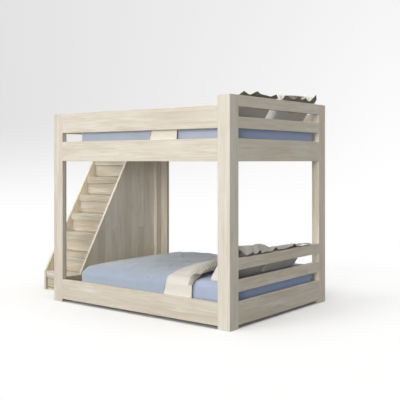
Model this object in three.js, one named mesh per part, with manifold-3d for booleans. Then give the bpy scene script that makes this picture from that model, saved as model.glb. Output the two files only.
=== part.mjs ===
// Full-over-full bunk bed with a flight of seven storage stairs across its foot end.
// Millimetres. +Z is up, +X points to the head end, -Y to the long side that faces the room.
// The origin is on the floor under the middle of the whole outline.

import * as THREE from 'three';
import { ConvexGeometry } from 'three/addons/geometries/ConvexGeometry.js';
import { mergeVertices } from 'three/addons/utils/BufferGeometryUtils.js';
import Module from 'manifold-3d';

// Bed frame
const bedLength = 2000;
const bedWidth = 1505;
const footPostHeight = 1720;
const headPostRise = 80;
const boardThickness = 40;
const postLeg = 116;
const wideRail = 177;
const narrowRail = 90;
const railGap = 79;
const lowerRailBottom = 27;
const ease = 1.5;

// Mortise and tenon joints, and the gap that touching pieces keep
const fit = 0.3;
const overlap = 1;
const tenonLength = 30;
const tenonThickness = 14;
const tenonShoulder = 22;

// Slatted platforms
const platformDrop = 54;
const slatCount = 14;
const slatWidth = 70;
const slatThickness = 18;
const slatEndGap = 2;
const cleatHeight = 40;
const cleatDepth = 30;
const beamWidth = 40;
const beamHeight = 60;
const beamPocket = 20;
const beamFootLength = 60;
const strapWidth = 38;
const strapThickness = 2;
const strapSink = 0.5;
const strapFromMiddle = 420;

// Guard at the foot end of the upper bunk
const stileWidth = 90;
const entryWidth = 409;

// Stairs
const stepCount = 7;
const riser = 186.5;
const going = 110;
const stairWidth = 523;
const stairPanel = 25;
const stairFront = 320;
const treadThickness = 25;
const apronHeight = 64;
const apronThickness = 18;
const nosingSetback = 6;
const housingDepth = 8;
const backPanel = 12;
const backInset = 6;

// Drawers under the treads
const drawerFrontThickness = 18;
const drawerFrontSetback = 12;
const fingerGap = 10;
const drawerTopGap = 2;
const drawerFrontSideGap = 5;
const drawerBoxSideGap = 6;
const drawerBoxHeight = 106;
const drawerBackGap = 40.7;
const drawerWall = 12;
const drawerBottom = 8;

// Bedding
const mattressLength = 1620;
const mattressSideGap = 26.5;
const mattressHeight = 190;
const mattressHeadGap = 20;
const mattressCorner = 75;
const mattressEdge = 28;
const duvetSide = 16;
const duvetTop = 12;
const duvetCrown = 48;
const duvetSkirt = 150;
const duvetEdge = 34;
const duvetGap = 0.4;
const foldWave = 3;
const foldPitch = 460;
const turnBackLength = 300;
const turnBackThickness = 6;
const turnBackEndLower = 335;
const turnBackEndUpper = 515;
const pillowHeight = 300;
const pillowThickness = 156;
const pillowLean = 30;
const pillowSink = 22;
const pillowDrawIn = 0.04;
const pillowRailGap = 2;
const seamThickness = 6;
const ruffleRise = 20;
const ruffleReach = 46;
const ruffleThickness = 6;
const ruffleWave = 17;
const ruffleWaves = 3;
// Gaps along a pair of pillows, from the near head post on: the upper pair fills its width
const lowerPillowGaps = [5.5, 7];
const upperPillowGaps = [59.5, 79, 14.5];

// Outline of the whole piece, from the stairs' outer side to the head end
const overallLength = bedLength + fit + stairWidth;
const head = overallLength / 2;
const foot = head - bedLength;
const near = -bedWidth / 2;
const far = bedWidth / 2;
const innerHead = head - boardThickness;
const innerFoot = foot + boardThickness;
const innerNear = near + boardThickness;
const innerFar = far - boardThickness;

// The head posts stand above the foot posts, and the bedding fits between boards and posts
const headPostHeight = footPostHeight + headPostRise;
const mattressWidth = bedWidth - 2 * (boardThickness + mattressSideGap);
const pillowRoom = upperPillowGaps.reduce((room, gap) => room - gap, bedWidth - 2 * postLeg);
const pillowWidth = pillowRoom / 2;

// Heights of the rails
const stackUp = (bottom, height) => [bottom, bottom + height];
const lowerWide = stackUp(lowerRailBottom, wideRail);
const lowerMid = stackUp(lowerWide[1] + railGap, narrowRail);
const lowerTop = stackUp(lowerMid[1] + railGap, narrowRail);
const guard = stackUp(footPostHeight - wideRail, wideRail);
const upperWide = stackUp(guard[0] - railGap - wideRail, wideRail);
const upperMid = stackUp(guard[0], narrowRail);
const upperTop = stackUp(headPostHeight - narrowRail, narrowRail);

const wasm = await Module();
wasm.setup();

const finishes = {
  rail: { color: 0xdcd2be, roughness: 0.62, metalness: 0 },
  post: { color: 0xd8cdb9, roughness: 0.62, metalness: 0 },
  stair: { color: 0xc9bda6, roughness: 0.66, metalness: 0 },
  panel: { color: 0xb9ae9b, roughness: 0.68, metalness: 0 },
  slat: { color: 0xd9c7a3, roughness: 0.75, metalness: 0 },
  drawer: { color: 0xd3c6ad, roughness: 0.66, metalness: 0 },
  sheet: { color: 0x8fa3c0, roughness: 0.9, metalness: 0 },
  duvet: { color: 0xa9b6c9, roughness: 0.92, metalness: 0 },
  pillow: { color: 0xe6e0d4, roughness: 0.92, metalness: 0 },
};

const group = new THREE.Group();

function addMesh(parent, name, geometry, finish, position = [0, 0, 0]) {
  const mesh = new THREE.Mesh(geometry, new THREE.MeshStandardMaterial(finishes[finish]));
  mesh.name = name;
  mesh.position.set(...position);
  parent.add(mesh);
  return mesh;
}

// Booleans
function toSolid(geometry) {
  const bare = geometry.clone();
  bare.deleteAttribute('normal');
  bare.deleteAttribute('uv');
  const merged = mergeVertices(bare, 1e-4);
  const vertProperties = new Float32Array(merged.attributes.position.array);
  const triVerts = new Uint32Array(merged.index.array);
  return new wasm.Manifold(new wasm.Mesh({ numProp: 3, vertProperties, triVerts }));
}

function toGeometry(solid) {
  const mesh = solid.getMesh();
  const geometry = new THREE.BufferGeometry();
  geometry.setAttribute('position', new THREE.BufferAttribute(new Float32Array(mesh.vertProperties), 3));
  geometry.setIndex(new THREE.BufferAttribute(new Uint32Array(mesh.triVerts), 1));
  geometry.computeVertexNormals();
  return geometry;
}

// A box is three spans: [[x0, x1], [y0, y1], [z0, z1]]
const middle = (box) => box.map(([low, high]) => (low + high) / 2);
const extent = (box) => box.map(([low, high]) => high - low);
const grow = (box, by) => box.map(([low, high]) => [low - by, high + by]);
const about = (centre, width) => [centre - width / 2, centre + width / 2];
const inset = ([low, high], by) => [low + by, high - by];

function boxSolid(box) {
  const geometry = new THREE.BoxGeometry(...extent(box));
  geometry.translate(...middle(box));
  return toSolid(geometry);
}

// A board with all its edges eased, centred on its own origin
function easedBoard(size, round = ease) {
  const points = [];
  for (let corner = 0; corner < 8; corner += 1) {
    const sign = [0, 1, 2].map((axis) => ((corner >> axis) & 1 ? 1 : -1));
    for (let kept = 0; kept < 3; kept += 1) {
      const place = size.map((side, axis) => sign[axis] * (side / 2 - (axis === kept ? 0 : round)));
      points.push(new THREE.Vector3(...place));
    }
  }
  return new ConvexGeometry(points);
}

// An anticlockwise outline with its outward corners eased
function easedOutline(corners, round = ease) {
  const points = corners.map(([x, y]) => new THREE.Vector2(x, y));
  return points.flatMap((point, index) => {
    const before = points.at(index - 1).clone().sub(point).normalize();
    const after = points[(index + 1) % points.length].clone().sub(point).normalize();
    if (before.cross(after) > 0) {
      return [point];
    }
    return [before, after].map((way) => point.clone().addScaledVector(way, round));
  });
}

// An outline in Y and Z made into a solid of the given depth along X, starting at x = 0
function acrossX(corners, depth) {
  const geometry = upright(corners, depth);
  const basis = new THREE.Matrix4().makeBasis(
    new THREE.Vector3(0, 1, 0),
    new THREE.Vector3(0, 0, 1),
    new THREE.Vector3(1, 0, 0),
  );
  return geometry.applyMatrix4(basis);
}

// An outline in X and Y made into a solid that stands on z = 0
function upright(corners, height) {
  const geometry = new THREE.ExtrudeGeometry(new THREE.Shape(easedOutline(corners)), {
    depth: height - 2 * ease,
    bevelEnabled: true,
    bevelThickness: ease,
    bevelSize: ease,
    bevelOffset: -ease,
    bevelSegments: 1,
  });
  return geometry.translate(0, 0, ease);
}

// A board in the place of its box, with tenons joined on and mortises or housings cut out
function addBoard(parent, name, finish, box, { tenons = [], cuts = [] } = {}) {
  const centre = middle(box);
  let geometry = easedBoard(extent(box));
  if (tenons.length + cuts.length > 0) {
    let solid = toSolid(geometry);
    const shift = centre.map((value) => -value);
    for (const tenon of tenons) {
      solid = solid.add(boxSolid(tenon).translate(shift));
    }
    for (const cut of cuts) {
      solid = solid.subtract(boxSolid(cut).translate(shift));
    }
    geometry = toGeometry(solid);
  }
  return addMesh(parent, name, geometry, finish, centre);
}

// Rails run along X or Y between the posts and carry one tenon at each end
const sideRail = (name, side, z) => ({
  name,
  axis: 0,
  box: [
    [foot + postLeg + fit, head - postLeg - fit],
    side < 0 ? [near, innerNear] : [innerFar, far],
    z,
  ],
});
const endRail = (name, side, z) => ({
  name,
  axis: 1,
  box: [
    side < 0 ? [foot, innerFoot] : [innerHead, head],
    [near + postLeg + fit, far - postLeg - fit],
    z,
  ],
});

const entryFar = far - postLeg;
const stile = [entryFar - entryWidth - stileWidth, entryFar - entryWidth];

const rails = [
  sideRail('lower_side_rail_near', -1, lowerWide),
  sideRail('lower_side_rail_far', 1, lowerWide),
  endRail('lower_head_rail', 1, lowerWide),
  endRail('lower_head_mid_rail', 1, lowerMid),
  endRail('lower_head_top_rail', 1, lowerTop),
  endRail('lower_foot_rail', -1, lowerWide),
  sideRail('upper_side_rail_near', -1, upperWide),
  sideRail('upper_side_rail_far', 1, upperWide),
  endRail('upper_head_rail', 1, upperWide),
  endRail('upper_head_mid_rail', 1, upperMid),
  endRail('upper_head_top_rail', 1, upperTop),
  endRail('upper_foot_rail', -1, upperWide),
  sideRail('upper_guard_near', -1, guard),
  sideRail('upper_guard_far', 1, guard),
];

// A tenon at the low (-1) or high (+1) end of a rail, sunk a little into the rail to join with it
function tenonBox({ box, axis }, end) {
  const across = 1 - axis;
  const [start, finish] = box[axis];
  const tenon = [];
  tenon[axis] = end < 0 ? [start - tenonLength, start + overlap] : [finish - overlap, finish + tenonLength];
  tenon[across] = about((box[across][0] + box[across][1]) / 2, tenonThickness);
  tenon[2] = inset(box[2], tenonShoulder);
  return tenon;
}

const tenonsOf = (rail) => [tenonBox(rail, -1), tenonBox(rail, 1)];

// The foot guard is tenoned into the near post and stands on the foot rail by its stile
const footGuardRail = {
  axis: 1,
  box: [[foot, innerFoot], [near + postLeg + fit, stile[1]], guard],
};
const stileFoot = [
  about((foot + innerFoot) / 2, tenonThickness),
  inset(stile, tenonShoulder),
  [upperWide[1] - tenonLength, upperWide[1] + fit + overlap],
];
const footGuardTenon = tenonBox(footGuardRail, -1);

// Posts are L-shaped: a leg along the long side and a leg along the end, glued into one
function postGeometry(sideX, sideY, height) {
  const corners = [
    [0, 0],
    [postLeg, 0],
    [postLeg, boardThickness],
    [boardThickness, boardThickness],
    [boardThickness, postLeg],
    [0, postLeg],
  ].map(([x, y]) => [-sideX * x, -sideY * y]);
  return upright(sideX * sideY > 0 ? corners : corners.reverse(), height);
}

function addPost(parent, name, sideX, sideY, height, mortises) {
  const corner = [sideX > 0 ? head : foot, sideY > 0 ? far : near, 0];
  let solid = toSolid(postGeometry(sideX, sideY, height));
  for (const mortise of mortises) {
    solid = solid.subtract(boxSolid(mortise).translate(corner.map((value) => -value)));
  }
  addMesh(parent, name, toGeometry(solid), 'post', corner);
}

// Centre beams run head to foot under the slats, with their ends in pockets in the end rails
const slatTopAbove = ([, railTop]) => railTop - platformDrop;
const slatBottomAbove = (wide) => slatTopAbove(wide) - slatThickness;
function beamBox(wide) {
  const top = slatBottomAbove(wide) - fit;
  const reach = boardThickness - beamPocket + fit;
  return [[foot + reach, head - reach], about(0, beamWidth), [top - beamHeight, top]];
}
const beamPocketCut = (wide) => grow(beamBox(wide), fit);

const frame = new THREE.Group();
group.add(frame);

const mortises = rails.flatMap(tenonsOf).concat([footGuardTenon]).map((tenon) => grow(tenon, fit));
addPost(frame, 'post_head_near', 1, -1, headPostHeight, mortises);
addPost(frame, 'post_head_far', 1, 1, headPostHeight, mortises);
addPost(frame, 'post_foot_near', -1, -1, footPostHeight, mortises);
addPost(frame, 'post_foot_far', -1, 1, footPostHeight, mortises);

const railCuts = {
  lower_head_rail: [beamPocketCut(lowerWide)],
  lower_foot_rail: [beamPocketCut(lowerWide)],
  upper_head_rail: [beamPocketCut(upperWide)],
  upper_foot_rail: [beamPocketCut(upperWide), grow(stileFoot, fit)],
};
for (const rail of rails) {
  addBoard(frame, rail.name, 'rail', rail.box, { tenons: tenonsOf(rail), cuts: railCuts[rail.name] });
}
const guardOutline = [
  [footGuardRail.box[1][0], guard[0]],
  [stile[0], guard[0]],
  [stile[0], upperWide[1] + fit],
  [stile[1], upperWide[1] + fit],
  [stile[1], guard[1]],
  [footGuardRail.box[1][0], guard[1]],
];
const footGuard = toSolid(acrossX(guardOutline, boardThickness))
  .translate([foot, 0, 0])
  .add(boxSolid(footGuardTenon))
  .add(boxSolid(stileFoot))
  .translate([-foot, 0, 0]);
addMesh(frame, 'upper_foot_guard', toGeometry(footGuard), 'rail', [foot, 0, 0]);

// Slatted platform: two cleats, a centre beam, and slats joined by two straps into one roll
function slatRollGeometry(wide, centre) {
  const top = slatTopAbove(wide);
  const bay = (innerHead - innerFoot) / slatCount;
  let roll = null;
  for (let index = 0; index < slatCount; index += 1) {
    const slatX = about(innerFoot + bay * (index + 0.5), slatWidth);
    const slatY = [innerNear + slatEndGap, innerFar - slatEndGap];
    const slat = boxSolid([slatX, slatY, [top - slatThickness, top]]);
    roll = roll ? roll.add(slat) : slat;
  }
  for (const side of [-1, 1]) {
    const strapX = [innerFoot + bay / 2, innerHead - bay / 2];
    const strapZ = [top - strapSink, top - strapSink + strapThickness];
    roll = roll.add(boxSolid([strapX, about(side * strapFromMiddle, strapWidth), strapZ]));
  }
  return toGeometry(roll.translate(centre.map((value) => -value)));
}

function addPlatform(parent, level, wide, feet) {
  const cleatTop = slatBottomAbove(wide) - fit;
  const cleatX = [innerFoot + fit, innerHead - fit];
  const cleatZ = [cleatTop - cleatHeight, cleatTop];
  const nearY = stackUp(innerNear + fit, cleatDepth);
  addBoard(parent, `${level}_cleat_near`, 'slat', [cleatX, nearY, cleatZ]);
  addBoard(parent, `${level}_cleat_far`, 'slat', [cleatX, nearY.map((y) => -y).reverse(), cleatZ]);
  const beam = beamBox(wide);
  const legs = feet.map((share) => {
    const x = beam[0][0] + share * (beam[0][1] - beam[0][0]);
    return [about(x, beamFootLength), beam[1], [0, beam[2][0] + overlap]];
  });
  addBoard(parent, `${level}_centre_beam`, 'slat', beam, { tenons: legs });
  const centre = [(innerHead + innerFoot) / 2, 0, slatTopAbove(wide)];
  addMesh(parent, `${level}_slat_roll`, slatRollGeometry(wide, centre), 'slat', centre);
}

addPlatform(frame, 'lower', lowerWide, [1 / 3, 2 / 3]);
addPlatform(frame, 'upper', upperWide, []);

// Stairs climb towards +Y between two solid side panels, close against the foot posts
const stairs = new THREE.Group();
group.add(stairs);

const stairInner = foot - fit;
const stairOuter = stairInner - stairWidth;
const stairClear = [stairOuter + stairPanel, stairInner - stairPanel];
const stairHeight = stepCount * riser;
const stairStart = near + stairFront;
const treadFront = (step) => stairStart + nosingSetback + going * (step - 1);
const backFace = far - backInset - backPanel;

// The housing in the side panels that takes a shelf, a tread or the back
const housed = ([low, high]) => [low - housingDepth, high + housingDepth];
const shelfBox = (step) => {
  const front = step === 0 ? treadFront(1) + drawerFrontSetback : treadFront(step);
  const top = step === 0 ? treadThickness : step * riser;
  return [housed(stairClear), [front, backFace - fit], [top - treadThickness, top]];
};
const backTop = stairHeight - treadThickness - fit;
const backBox = [housed(stairClear), [backFace, backFace + backPanel], [0, backTop]];

// The lowest shelf stands on the floor, so its drawer space starts above it
const drawerFloor = (step) => (step === 1 ? treadThickness : (step - 1) * riser);
const drawerCeiling = (step) => step * riser - apronHeight;

const sidePanelOutline = [
  [0, 0],
  [far - stairStart, 0],
  [far - stairStart, stairHeight],
  [going * (stepCount - 1), stairHeight],
  [0, riser],
];

const steps = Array.from({ length: stepCount }, (_, index) => index + 1);
const housings = [0, ...steps].map(shelfBox).concat([backBox]).map((box) => grow(box, fit));

function addSidePanel(name, place) {
  let solid = toSolid(acrossX(sidePanelOutline, stairPanel)).translate(place);
  for (const housing of housings) {
    solid = solid.subtract(boxSolid(housing));
  }
  addMesh(stairs, name, toGeometry(solid.translate(place.map((value) => -value))), 'panel', place);
}

addSidePanel('stair_side_panel_inner', [stairInner - stairPanel, stairStart, 0]);
addSidePanel('stair_side_panel_outer', [stairOuter, stairStart, 0]);
addBoard(stairs, 'stair_back_panel', 'panel', backBox);
addBoard(stairs, 'stair_bottom_shelf', 'stair', shelfBox(0));

// A tread is a shelf with an apron glued under its front edge, and its ends sit in the housings
function addTread(name, step) {
  const [x, y, z] = shelfBox(step);
  const between = inset(stairClear, fit);
  const outline = [
    [0, -apronHeight],
    [apronThickness, -apronHeight],
    [apronThickness, -treadThickness],
    [y[1] - y[0], -treadThickness],
    [y[1] - y[0], 0],
    [0, 0],
  ];
  const place = [between[0], y[0], z[1]];
  let solid = toSolid(acrossX(outline, between[1] - between[0])).translate(place);
  for (const end of [[x[0], between[0] + ease + overlap], [between[1] - ease - overlap, x[1]]]) {
    solid = solid.add(boxSolid([end, inset(y, ease), inset(z, ease)]));
  }
  addMesh(stairs, name, toGeometry(solid.translate(place.map((value) => -value))), 'stair', place);
}

for (const step of steps) {
  addTread(step === stepCount ? 'stair_landing' : `stair_tread_${step}`, step);
}

// All drawer boxes are as deep as the space under the landing lets them be
const drawerBoxFront = (step) => treadFront(step) + drawerFrontSetback + drawerFrontThickness + fit;
const drawerBoxDepth = backFace - drawerBackGap - drawerBoxFront(stepCount);

// Drawers slide out towards -Y on the shelf or tread below them
for (const step of steps) {
  const floor = drawerFloor(step);
  const front = treadFront(step) + drawerFrontSetback;
  const frontBox = [
    inset(stairClear, drawerFrontSideGap),
    stackUp(front, drawerFrontThickness),
    [floor + fingerGap, drawerCeiling(step) - drawerTopGap],
  ];
  const rim = Math.min(floor + fit + drawerBoxHeight, drawerCeiling(step) - drawerTopGap);
  const tray = [
    inset(stairClear, drawerBoxSideGap),
    stackUp(drawerBoxFront(step), drawerBoxDepth),
    [floor + fit, rim],
  ];
  const cavity = [
    inset(tray[0], drawerWall),
    inset(tray[1], drawerWall),
    [tray[2][0] + drawerBottom, rim + overlap],
  ];
  addBoard(stairs, `drawer_front_${step}`, 'drawer', frontBox);
  addBoard(stairs, `drawer_box_${step}`, 'drawer', tray, { cuts: [cavity] });
}

// Closed surface through a stack of rings with equally many points
function loft(rings) {
  const count = rings[0].length;
  const positions = rings.flat().flatMap((point) => point.toArray());
  const index = [];
  for (let row = 0; row + 1 < rings.length; row += 1) {
    for (let column = 0; column < count; column += 1) {
      const next = (column + 1) % count;
      const a = row * count + column;
      const b = row * count + next;
      index.push(a, b, b + count, a, b + count, a + count);
    }
  }
  for (const [row, flip] of [[0, true], [rings.length - 1, false]]) {
    const pole = positions.length / 3;
    const centre = rings[row].reduce((sum, point) => sum.add(point), new THREE.Vector3());
    positions.push(...centre.divideScalar(count).toArray());
    for (let column = 0; column < count; column += 1) {
      const a = row * count + column;
      const b = row * count + ((column + 1) % count);
      index.push(...(flip ? [b, a, pole] : [a, b, pole]));
    }
  }
  const geometry = new THREE.BufferGeometry();
  geometry.setAttribute('position', new THREE.Float32BufferAttribute(positions, 3));
  geometry.setIndex(index);
  geometry.computeVertexNormals();
  return geometry;
}

// Rounded rectangle, anticlockwise, with its sides divided where they carry folds
function roundedOutline(halfX, halfY, radius, sideSteps) {
  const cornerSteps = 4;
  const outline = [];
  for (const [signX, signY, start] of [[1, 1, 0], [-1, 1, 1], [-1, -1, 2], [1, -1, 3]]) {
    for (let step = 0; step <= cornerSteps; step += 1) {
      const angle = ((start + step / cornerSteps) * Math.PI) / 2;
      outline.push(new THREE.Vector2(
        signX * (halfX - radius) + radius * Math.cos(angle),
        signY * (halfY - radius) + radius * Math.sin(angle),
      ));
    }
    const last = outline[outline.length - 1];
    const along = start % 2 === 0 ? new THREE.Vector2(-signY, 0) : new THREE.Vector2(0, signX);
    const side = 2 * (start % 2 === 0 ? halfX - radius : halfY - radius);
    for (let step = 1; step < sideSteps; step += 1) {
      outline.push(last.clone().addScaledVector(along, (side * step) / sideSteps));
    }
  }
  return outline;
}

// Padded block with rounded corners and edges, standing on z = 0, its top crowned with low folds
function paddedBlock({ length, width, height, corner, topEdge, bottomEdge = 0, crown = 0, wave = 0 }) {
  const rings = [];
  const sideSteps = wave > 0 ? 8 : 2;
  const arcSteps = 3;
  const arc = Array.from({ length: arcSteps + 1 }, (_, step) => (step / arcSteps) * (Math.PI / 2));
  const ring = (shrink, z, scale = 1) => {
    const outline = roundedOutline(length / 2 - shrink, width / 2 - shrink, corner - shrink, sideSteps);
    const onTop = scale < 1 && z > 0;
    rings.push(outline.map((point) => {
      const fold = wave * Math.sin((2 * Math.PI * (point.x + point.y / 3)) / foldPitch);
      const rise = onTop ? crown * (1 - scale ** 3) + fold : 0;
      return new THREE.Vector3(point.x * scale, point.y * scale, z + rise);
    }));
  };
  ring(bottomEdge, 0, 0.5);
  for (const angle of bottomEdge > 0 ? arc : arc.slice(-1)) {
    ring(bottomEdge * (1 - Math.sin(angle)), bottomEdge * (1 - Math.cos(angle)));
  }
  for (const angle of arc) {
    ring(topEdge * (1 - Math.cos(angle)), height - topEdge * (1 - Math.sin(angle)));
  }
  for (const scale of [0.85, 0.6, 0.3]) {
    ring(topEdge, height, scale);
  }
  return loft(rings);
}

const mattressX = [innerHead - mattressHeadGap - mattressLength, innerHead - mattressHeadGap];
const mattressBottom = (wide) => slatTopAbove(wide) + strapThickness - strapSink + fit;

// The mattress's own block, or the same block grown by a gap
const mattressBlock = (gap, bottomEdge) => paddedBlock({
  length: mattressLength + 2 * gap,
  width: mattressWidth + 2 * gap,
  height: mattressHeight + gap,
  corner: mattressCorner + gap,
  topEdge: mattressEdge,
  bottomEdge,
});

const mattressPlace = (wide) => [(mattressX[0] + mattressX[1]) / 2, 0, mattressBottom(wide)];

function addMattress(parent, name, wide) {
  addMesh(parent, name, mattressBlock(0, mattressEdge), 'sheet', mattressPlace(wide));
}

// Duvet: a lid over the foot end and sides of the mattress, turned back near the pillows
function duvetLayer(side, top) {
  return toSolid(paddedBlock({
    length: mattressLength + 2 * side,
    width: mattressWidth + 2 * side,
    height: duvetSkirt + top,
    corner: mattressCorner + side,
    topEdge: duvetEdge,
    crown: duvetCrown,
    wave: foldWave,
  })).translate([0, 0, mattressHeight - duvetSkirt]);
}

function addDuvet(parent, name, wide, turnBackEnd) {
  const place = mattressPlace(wide);
  const end = mattressLength / 2 - turnBackEnd;
  const between = (from, to) => boxSolid([[from, to], [near, far], [0, headPostHeight]]);
  const sheet = duvetLayer(duvetSide, duvetTop).intersect(between(-mattressLength, end));
  const turnBack = duvetLayer(duvetSide + turnBackThickness, duvetTop + turnBackThickness)
    .intersect(between(end - turnBackLength, end));
  const hollow = toSolid(mattressBlock(duvetGap, 0));
  addMesh(parent, name, toGeometry(sheet.add(turnBack).subtract(hollow)), 'duvet', place);
}

// Pillow: a plump body, thin at its seams and drawn in at its sides, with a wavy ruffle on top.
// Along is measured up the slope from the bottom seam, out across it towards the foot end.
function pillowRing(across) {
  const bodySteps = 8;
  const endTaper = (1 - Math.abs(across) ** 6) ** 0.5;
  const height = pillowHeight * (1 - pillowDrawIn * (1 - endTaper));
  const half = (along) => {
    const plump = (1 - Math.abs(2 * along - 1) ** 3) ** 0.5;
    return (seamThickness + (pillowThickness - seamThickness) * endTaper * plump) / 2;
  };
  const body = Array.from({ length: bodySteps + 1 }, (_, step) => step / bodySteps);
  const front = body.map((along) => [along * height, half(along)]);
  const back = body.map((along) => [along * height, -half(along)]).reverse();
  const wave = ruffleWave * Math.sin(ruffleWaves * Math.PI * across);
  const bend = [height + ruffleRise + wave / 2, -ruffleReach / 2];
  const tip = [height + ruffleRise / 2 + wave, -ruffleReach];
  const upper = [bend, tip].map(([along, out]) => [along + ruffleThickness / 2, out]);
  const lower = [tip, bend].map(([along, out]) => [along - ruffleThickness / 2, out]);
  return [...front, ...upper, ...lower, ...back];
}

function pillowGeometry() {
  const ringCount = 25;
  const reach = 0.995;
  const lean = THREE.MathUtils.degToRad(pillowLean);
  const rings = [];
  for (let index = 0; index < ringCount; index += 1) {
    const across = reach * ((2 * index) / (ringCount - 1) - 1);
    rings.push(pillowRing(across).map(([along, out]) => new THREE.Vector3(
      along * Math.sin(lean) - out * Math.cos(lean),
      (across * pillowWidth) / 2,
      Math.max(along * Math.cos(lean) + out * Math.sin(lean) - pillowSink, 0),
    )));
  }
  return loft(rings);
}

// A pillow stands on the mattress and leans back as far as the head rails let it
function addPillow(parent, name, wide, railTop, y) {
  const geometry = pillowGeometry();
  const points = geometry.attributes.position;
  const lift = mattressBottom(wide) + mattressHeight + fit;
  let backmost = -Infinity;
  for (let index = 0; index < points.count; index += 1) {
    if (points.getZ(index) + lift < railTop + ruffleThickness) {
      backmost = Math.max(backmost, points.getX(index));
    }
  }
  addMesh(parent, name, geometry, 'pillow', [innerHead - pillowRailGap - backmost, y, lift]);
}

function pillowPlaces([beside, between]) {
  const first = near + postLeg + beside + pillowWidth / 2;
  return [first, first + pillowWidth + between];
}

const lowerPillowPlaces = pillowPlaces(lowerPillowGaps);
const upperPillowPlaces = pillowPlaces(upperPillowGaps);

const bedding = new THREE.Group();
group.add(bedding);

addMattress(bedding, 'lower_mattress', lowerWide);
addMattress(bedding, 'upper_mattress', upperWide);
addDuvet(bedding, 'lower_duvet', lowerWide, turnBackEndLower);
addDuvet(bedding, 'upper_duvet', upperWide, turnBackEndUpper);
addPillow(bedding, 'lower_pillow_near', lowerWide, lowerTop[1], lowerPillowPlaces[0]);
addPillow(bedding, 'lower_pillow_far', lowerWide, lowerTop[1], lowerPillowPlaces[1]);
addPillow(bedding, 'upper_pillow_near', upperWide, upperTop[1], upperPillowPlaces[0]);
addPillow(bedding, 'upper_pillow_far', upperWide, upperTop[1], upperPillowPlaces[1]);

export default group;
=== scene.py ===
# Bunk bed with storage stairs: wood, bedding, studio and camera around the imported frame.
# Metres. +Z is up, +X points to the head end, -Y to the long side that faces the room.

import math

import bmesh
import bpy
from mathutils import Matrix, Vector, noise


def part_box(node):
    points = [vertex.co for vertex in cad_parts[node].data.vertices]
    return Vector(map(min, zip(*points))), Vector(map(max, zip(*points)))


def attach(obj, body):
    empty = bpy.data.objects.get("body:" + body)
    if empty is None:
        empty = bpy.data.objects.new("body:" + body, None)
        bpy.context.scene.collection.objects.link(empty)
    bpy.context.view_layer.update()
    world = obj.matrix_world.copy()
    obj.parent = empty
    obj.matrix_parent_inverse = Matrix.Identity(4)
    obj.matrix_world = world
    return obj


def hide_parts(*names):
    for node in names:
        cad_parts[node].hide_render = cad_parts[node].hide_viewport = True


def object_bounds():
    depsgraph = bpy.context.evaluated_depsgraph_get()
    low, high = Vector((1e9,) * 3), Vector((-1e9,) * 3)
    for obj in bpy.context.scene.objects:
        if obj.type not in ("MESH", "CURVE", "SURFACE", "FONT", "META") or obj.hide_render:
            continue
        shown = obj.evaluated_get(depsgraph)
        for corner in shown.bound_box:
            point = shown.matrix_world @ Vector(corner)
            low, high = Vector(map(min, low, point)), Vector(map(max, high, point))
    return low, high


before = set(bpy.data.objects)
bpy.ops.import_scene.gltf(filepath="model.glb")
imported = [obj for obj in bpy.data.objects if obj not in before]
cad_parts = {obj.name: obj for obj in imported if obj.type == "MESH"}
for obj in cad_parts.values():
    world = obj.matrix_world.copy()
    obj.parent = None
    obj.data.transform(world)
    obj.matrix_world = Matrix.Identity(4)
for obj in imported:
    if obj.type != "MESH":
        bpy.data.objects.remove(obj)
cad_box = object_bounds()
scene = bpy.context.scene

LEVELS = ("lower", "upper")
TINY = 1e-9

# Camera
CAMERA_PLACE = (4.42605, -5.16945, 1.29508)
CAMERA_AZIMUTH = 37.99
CAMERA_REACH = 60
LENS_MM = 64.73
SENSOR_MM = 36
HORIZON_SHIFT = -0.0992

# Lamps: the way towards each one, its strength, and its width in degrees
LAMPS = {
    "side_softbox": ((-0.42, -0.85, 0.32), 0.83, 28),
    "low_softbox": ((0.32, -0.94, 0.14), 1.54, 28),
    "top_softbox": ((0.05, -0.15, 1.0), 2.20, 70),
}
LAMP_COLOR = (1.0, 0.99, 0.975)
AMBIENT_STRENGTH = 0.16
AMBIENT_COLOR = (0.94, 0.975, 1.0, 1)

# Floor: what it throws back, how its shadow is filled further from the bed, and where it ends
FLOOR_SIZE = 14
FLOOR_BOUNCE = 0.22
SHADOW_FILL = 0.6
SHADOW_FILL_BAND = (-0.08, 0.85)
FLOOR_CLEAR_RADIUS = 2.3
FLOOR_FADE_RADIUS = 4.0

# Backdrop: white below the horizon band and grey above it, lighter towards +X and low down
HORIZON_BAND = (-0.08, 0.06)
SIDE_BAND = (-0.80, -0.40)
BACKDROP_GREY = 0.765
SIDE_GAIN = 0.225
SIDE_GAIN_FALL = -0.35

# Wood: growth rings round a pith, and the staves of the glued panels
RING_SCALE = (0.03, 1.0)
RING_SPACING = 0.017
RING_SWAY = 3.4
RING_SHARPNESS = 2.2
RING_DENT = 0.4
PITH_DISTANCE = 0.16
PITH_TURNS = (2.4, 1.9)
SHIFT_REACH = 3.1
SHIFT_TURNS = (7.3, 2.9)
STAVE_LENGTH = 0.745
STAVE_WIDTH = 0.095
STAVE_OFFSET = 0.2
STAVE_JOINT = 0.0008
STAVE_JOINT_SHARE = 0.6
STAVE_CONTRAST = 0.65
STAVE_JUMP = (5.3, 3.7, 4.1)
WOOD_BUMP = 0.0006
WOOD_BUMP_STRENGTH = 0.4
WOOD_SPECULAR = 0.35

# Noises in the wood: scale along the grain, scale across it, detail, roughness
WOOD_NOISE = {
    "tone": (1.3, 9.0, 3.0, 0.55),
    "sway": (1.6, 6.5, 2.0, 0.45),
    "faint": (1.9, 14.0, 2.0, 0.5),
    "fibre": (5.0, 230.0, 3.0, 0.6),
    "streak": (1.6, 52.0, 3.0, 0.6),
    "patch": (4.2, 24.0, 3.0, 0.6),
    "limed": (2.2, 22.0, 3.0, 0.6),
}

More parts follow.
